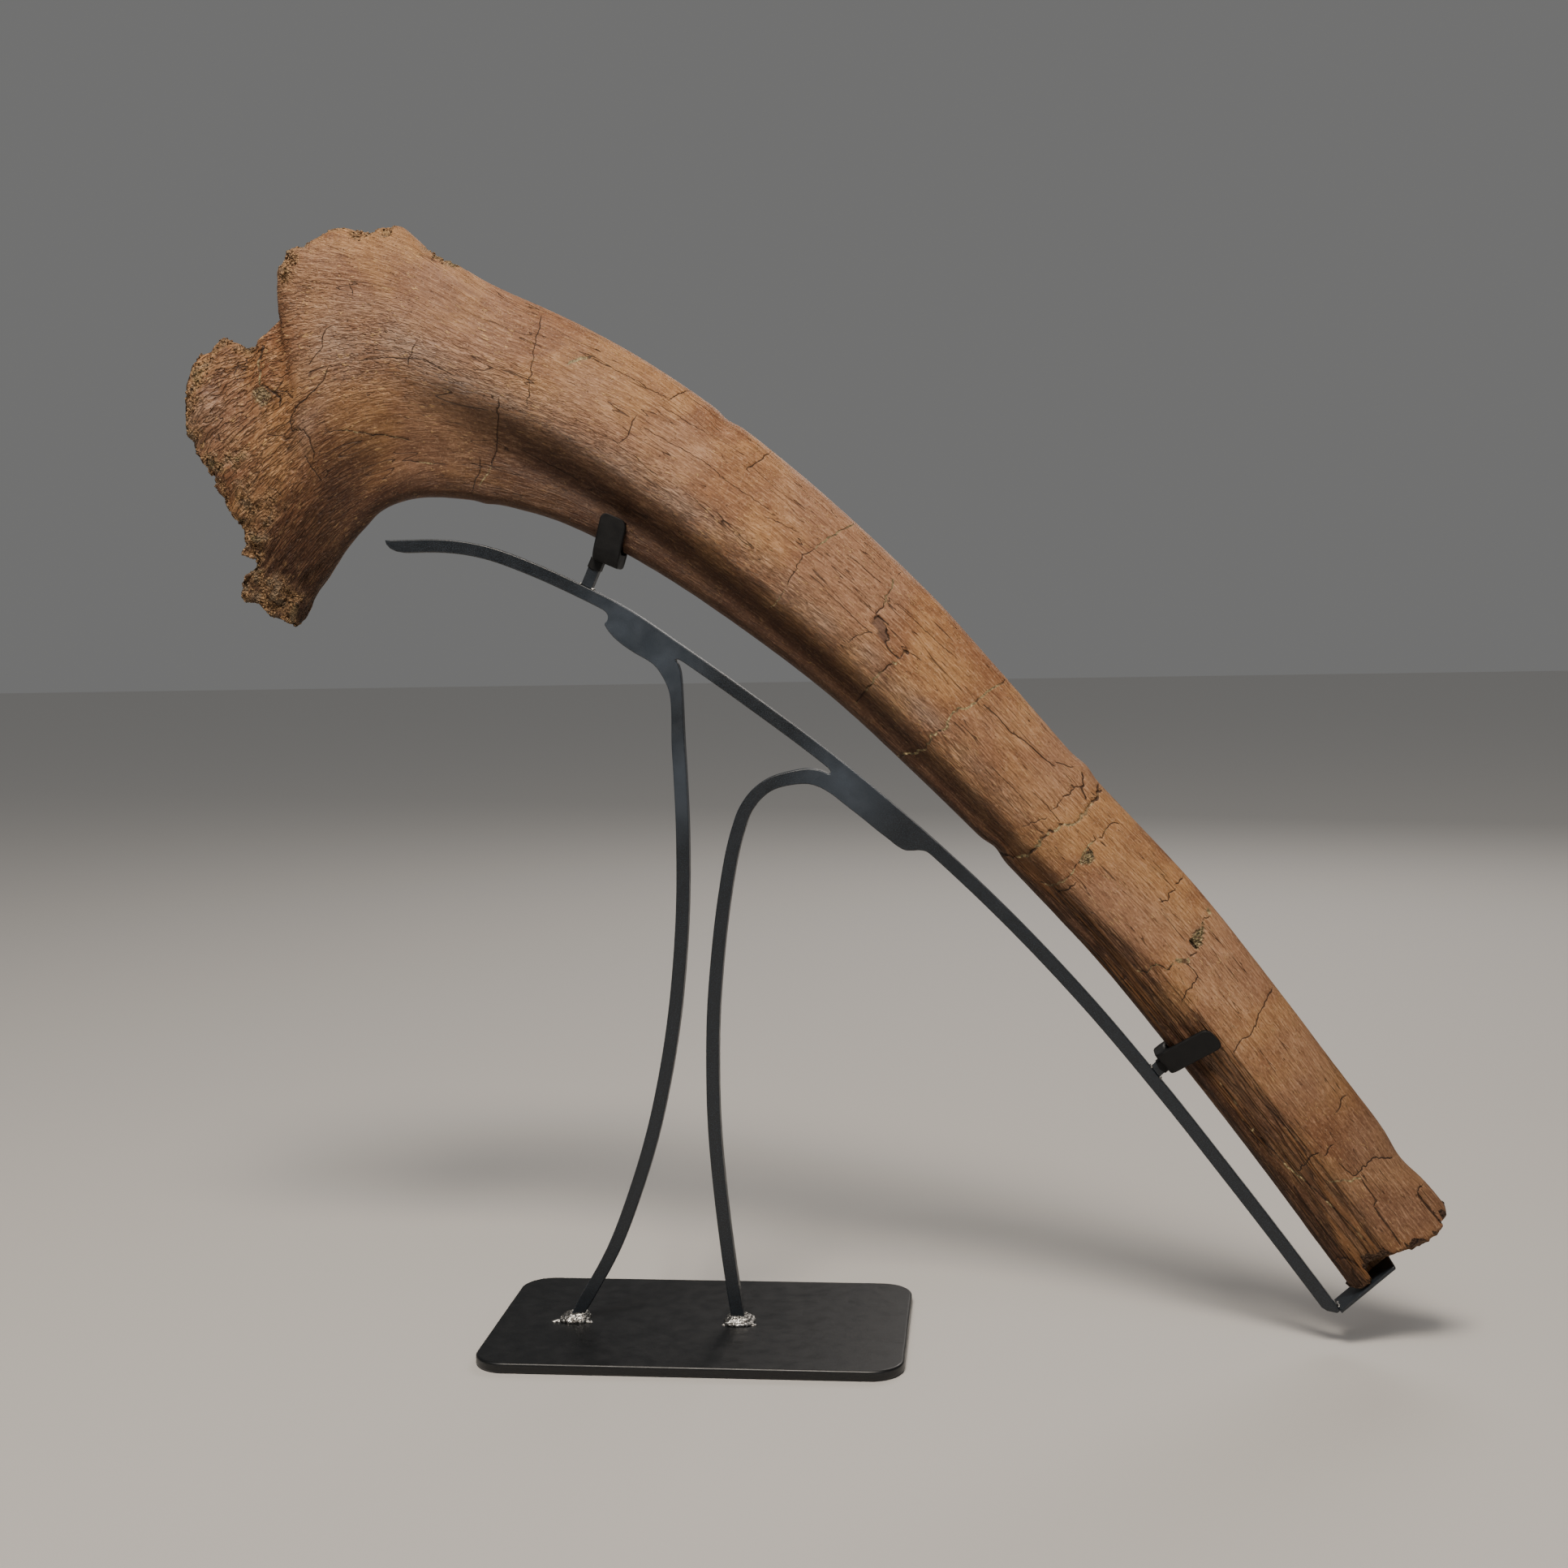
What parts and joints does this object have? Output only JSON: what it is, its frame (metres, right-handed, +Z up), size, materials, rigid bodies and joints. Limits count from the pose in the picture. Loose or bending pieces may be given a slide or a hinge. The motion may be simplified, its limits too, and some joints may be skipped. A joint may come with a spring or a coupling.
{
  "type": "fossil triceratops rib on a stand",
  "caption": "Broken triceratops rib with a forked head and a long curved blade, held by two rubber cradles and an end ledge on a welded steel stand.",
  "frame": {"origin": "centre of the base plate's underside", "axes": "+Z up, +X along the plate's long side toward the rib's lower tip, and the rib's crested front face looks toward -Y"},
  "size_m": [0.7514, 0.1524, 0.6748],
  "materials": {
    "fossil_bone": "matte",
    "coated_steel": "satin",
    "bare_weld": "satin",
    "cradle_rubber": "matte"
  },
  "bodies": {
    "root": {"rib": "fossil_bone", "base_plate": "coated_steel", "spine_bar": "coated_steel", "left_leg": "coated_steel", "right_leg": "coated_steel", "left_foot_weld": "bare_weld", "right_foot_weld": "bare_weld", "upper_stub": "coated_steel", "lower_stub": "coated_steel", "upper_cradle": "cradle_rubber", "lower_cradle": "cradle_rubber", "end_ledge": "coated_steel"}
  },
  "joints": []
}
